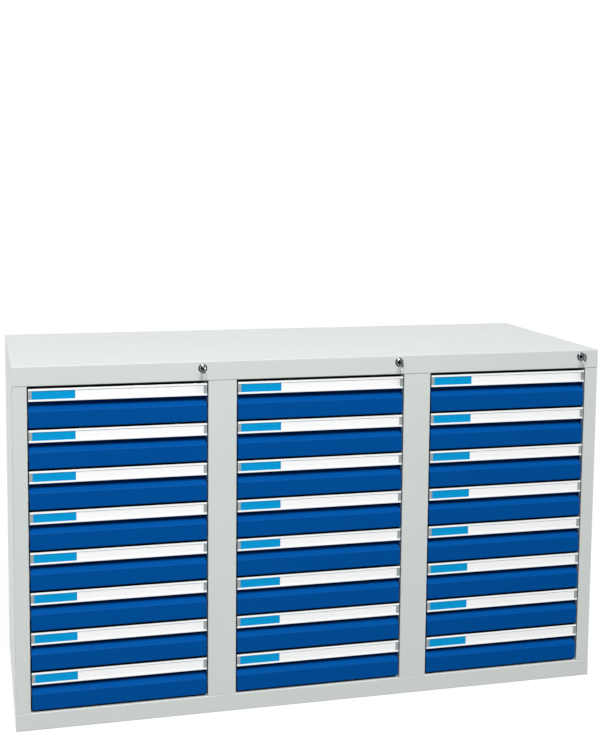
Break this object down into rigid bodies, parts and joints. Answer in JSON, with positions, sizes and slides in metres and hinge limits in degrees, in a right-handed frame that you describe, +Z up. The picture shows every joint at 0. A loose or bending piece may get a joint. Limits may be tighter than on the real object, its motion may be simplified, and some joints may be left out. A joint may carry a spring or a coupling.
{
  "type": "parts bin cabinet",
  "caption": "Low steel drawer cabinet in three lockable columns of shallow full-width drawers, each with a finger recess under a label rail and roller slides.",
  "frame": {"origin": "middle of the casing's footprint, at floor level", "axes": "+X to the right as seen from the front, +Y from the drawer fronts towards the back, +Z up"},
  "size_m": [1.53, 0.6335, 0.9],
  "materials": {
    "casing_paint": "satin",
    "front_paint": "satin",
    "tray_paint": "satin",
    "slide_steel": "zinc plated",
    "lock_chrome": "polished",
    "key_metal": "nickel plated",
    "rail_aluminium": "clear anodised",
    "label_card": "paper with a light-blue field",
    "clear_plastic": "clear",
    "grey_plastic": "moulded",
    "roller_plastic": "moulded"
  },
  "bodies": {
    "casing": {"top_cover": "casing_paint", "base_panel": "casing_paint", "side_panels_and_dividers": "casing_paint", "back_panel": "casing_paint", "drawer_slides": "slide_steel", "lock_barrels": "lock_chrome"},
    "drawer_1_1": {"drawer_1_1_tray": "tray_paint", "drawer_1_1_front": "front_paint"},
    "drawer_1_2": {"drawer_1_2_tray": "tray_paint", "drawer_1_2_front": "front_paint"},
    "drawer_1_3": {"drawer_1_3_tray": "tray_paint", "drawer_1_3_front": "front_paint"},
    "drawer_1_4": {"drawer_1_4_tray": "tray_paint", "drawer_1_4_front": "front_paint"},
    "drawer_1_5": {"drawer_1_5_tray": "tray_paint", "drawer_1_5_front": "front_paint"},
    "drawer_1_6": {"drawer_1_6_tray": "tray_paint", "drawer_1_6_front": "front_paint"},
    "drawer_1_7": {"drawer_1_7_tray": "tray_paint", "drawer_1_7_front": "front_paint"},
    "drawer_1_8": {"drawer_1_8_tray": "tray_paint", "drawer_1_8_front": "front_paint"},
    "drawer_2_1": {"drawer_2_1_tray": "tray_paint", "drawer_2_1_front": "front_paint"},
    "drawer_2_2": {"drawer_2_2_tray": "tray_paint", "drawer_2_2_front": "front_paint"},
    "drawer_2_3": {"drawer_2_3_tray": "tray_paint", "drawer_2_3_front": "front_paint"},
    "drawer_2_4": {"drawer_2_4_tray": "tray_paint", "drawer_2_4_front": "front_paint"},
    "drawer_2_5": {"drawer_2_5_tray": "tray_paint", "drawer_2_5_front": "front_paint"},
    "drawer_2_6": {"drawer_2_6_tray": "tray_paint", "drawer_2_6_front": "front_paint"},
    "drawer_2_7": {"drawer_2_7_tray": "tray_paint", "drawer_2_7_front": "front_paint"},
    "drawer_2_8": {"drawer_2_8_tray": "tray_paint", "drawer_2_8_front": "front_paint"},
    "drawer_3_1": {"drawer_3_1_tray": "tray_paint", "drawer_3_1_front": "front_paint"},
    "drawer_3_2": {"drawer_3_2_tray": "tray_paint", "drawer_3_2_front": "front_paint"},
    "drawer_3_3": {"drawer_3_3_tray": "tray_paint", "drawer_3_3_front": "front_paint"},
    "drawer_3_4": {"drawer_3_4_tray": "tray_paint", "drawer_3_4_front": "front_paint"},
    "drawer_3_5": {"drawer_3_5_tray": "tray_paint", "drawer_3_5_front": "front_paint"},
    "drawer_3_6": {"drawer_3_6_tray": "tray_paint", "drawer_3_6_front": "front_paint"},
    "drawer_3_7": {"drawer_3_7_tray": "tray_paint", "drawer_3_7_front": "front_paint"},
    "drawer_3_8": {"drawer_3_8_tray": "tray_paint", "drawer_3_8_front": "front_paint"},
    "lock_plug_1": {"lock_plug_and_key_1": "key_metal"},
    "lock_bar_1": {"lock_bar_1": "slide_steel"},
    "lock_plug_2": {"lock_plug_and_key_2": "key_metal"},
    "lock_bar_2": {"lock_bar_2": "slide_steel"},
    "lock_plug_3": {"lock_plug_and_key_3": "key_metal"},
    "lock_bar_3": {"lock_bar_3": "slide_steel"}
  },
  "joints": [
    {"name": "drawer_1_1_slide", "type": "slide", "parent": "casing", "child": "drawer_1_1", "axis": [0, -1, 0], "range_m": [0, 0.454]},
    {"name": "drawer_1_2_slide", "type": "slide", "parent": "casing", "child": "drawer_1_2", "axis": [0, -1, 0], "range_m": [0, 0.454]},
    {"name": "drawer_1_3_slide", "type": "slide", "parent": "casing", "child": "drawer_1_3", "axis": [0, -1, 0], "range_m": [0, 0.454]},
    {"name": "drawer_1_4_slide", "type": "slide", "parent": "casing", "child": "drawer_1_4", "axis": [0, -1, 0], "range_m": [0, 0.454]},
    {"name": "drawer_1_5_slide", "type": "slide", "parent": "casing", "child": "drawer_1_5", "axis": [0, -1, 0], "range_m": [0, 0.454]},
    {"name": "drawer_1_6_slide", "type": "slide", "parent": "casing", "child": "drawer_1_6", "axis": [0, -1, 0], "range_m": [0, 0.454]},
    {"name": "drawer_1_7_slide", "type": "slide", "parent": "casing", "child": "drawer_1_7", "axis": [0, -1, 0], "range_m": [0, 0.454]},
    {"name": "drawer_1_8_slide", "type": "slide", "parent": "casing", "child": "drawer_1_8", "axis": [0, -1, 0], "range_m": [0, 0.454]},
    {"name": "drawer_2_1_slide", "type": "slide", "parent": "casing", "child": "drawer_2_1", "axis": [0, -1, 0], "range_m": [0, 0.454]},
    {"name": "drawer_2_2_slide", "type": "slide", "parent": "casing", "child": "drawer_2_2", "axis": [0, -1, 0], "range_m": [0, 0.454]},
    {"name": "drawer_2_3_slide", "type": "slide", "parent": "casing", "child": "drawer_2_3", "axis": [0, -1, 0], "range_m": [0, 0.454]},
    {"name": "drawer_2_4_slide", "type": "slide", "parent": "casing", "child": "drawer_2_4", "axis": [0, -1, 0], "range_m": [0, 0.454]},
    {"name": "drawer_2_5_slide", "type": "slide", "parent": "casing", "child": "drawer_2_5", "axis": [0, -1, 0], "range_m": [0, 0.454]},
    {"name": "drawer_2_6_slide", "type": "slide", "parent": "casing", "child": "drawer_2_6", "axis": [0, -1, 0], "range_m": [0, 0.454]},
    {"name": "drawer_2_7_slide", "type": "slide", "parent": "casing", "child": "drawer_2_7", "axis": [0, -1, 0], "range_m": [0, 0.454]},
    {"name": "drawer_2_8_slide", "type": "slide", "parent": "casing", "child": "drawer_2_8", "axis": [0, -1, 0], "range_m": [0, 0.454]},
    {"name": "drawer_3_1_slide", "type": "slide", "parent": "casing", "child": "drawer_3_1", "axis": [0, -1, 0], "range_m": [0, 0.454]},
    {"name": "drawer_3_2_slide", "type": "slide", "parent": "casing", "child": "drawer_3_2", "axis": [0, -1, 0], "range_m": [0, 0.454]},
    {"name": "drawer_3_3_slide", "type": "slide", "parent": "casing", "child": "drawer_3_3", "axis": [0, -1, 0], "range_m": [0, 0.454]},
    {"name": "drawer_3_4_slide", "type": "slide", "parent": "casing", "child": "drawer_3_4", "axis": [0, -1, 0], "range_m": [0, 0.454]},
    {"name": "drawer_3_5_slide", "type": "slide", "parent": "casing", "child": "drawer_3_5", "axis": [0, -1, 0], "range_m": [0, 0.454]},
    {"name": "drawer_3_6_slide", "type": "slide", "parent": "casing", "child": "drawer_3_6", "axis": [0, -1, 0], "range_m": [0, 0.454]},
    {"name": "drawer_3_7_slide", "type": "slide", "parent": "casing", "child": "drawer_3_7", "axis": [0, -1, 0], "range_m": [0, 0.454]},
    {"name": "drawer_3_8_slide", "type": "slide", "parent": "casing", "child": "drawer_3_8", "axis": [0, -1, 0], "range_m": [0, 0.454]},
    {"name": "lock_turn_1", "type": "hinge", "parent": "casing", "child": "lock_plug_1", "pos_m": [-0.305, -0.3, 0.883], "axis": [0, 1, 0], "range_deg": [0, 90]},
    {"name": "lock_bar_lift_1", "type": "slide", "parent": "casing", "child": "lock_bar_1", "axis": [0, 0, 1], "range_m": [0, 0.01414]},
    {"name": "lock_turn_2", "type": "hinge", "parent": "casing", "child": "lock_plug_2", "pos_m": [0.205, -0.3, 0.883], "axis": [0, 1, 0], "range_deg": [0, 90]},
    {"name": "lock_bar_lift_2", "type": "slide", "parent": "casing", "child": "lock_bar_2", "axis": [0, 0, 1], "range_m": [0, 0.01414]},
    {"name": "lock_turn_3", "type": "hinge", "parent": "casing", "child": "lock_plug_3", "pos_m": [0.715, -0.3, 0.883], "axis": [0, 1, 0], "range_deg": [0, 90]},
    {"name": "lock_bar_lift_3", "type": "slide", "parent": "casing", "child": "lock_bar_3", "axis": [0, 0, 1], "range_m": [0, 0.01414]}
  ],
  "couplings": [
    {"joint": "lock_turn_1", "follows": "lock_bar_lift_1", "rad_per_m": 111.07},
    {"joint": "lock_turn_2", "follows": "lock_bar_lift_2", "rad_per_m": 111.07},
    {"joint": "lock_turn_3", "follows": "lock_bar_lift_3", "rad_per_m": 111.07}
  ]
}
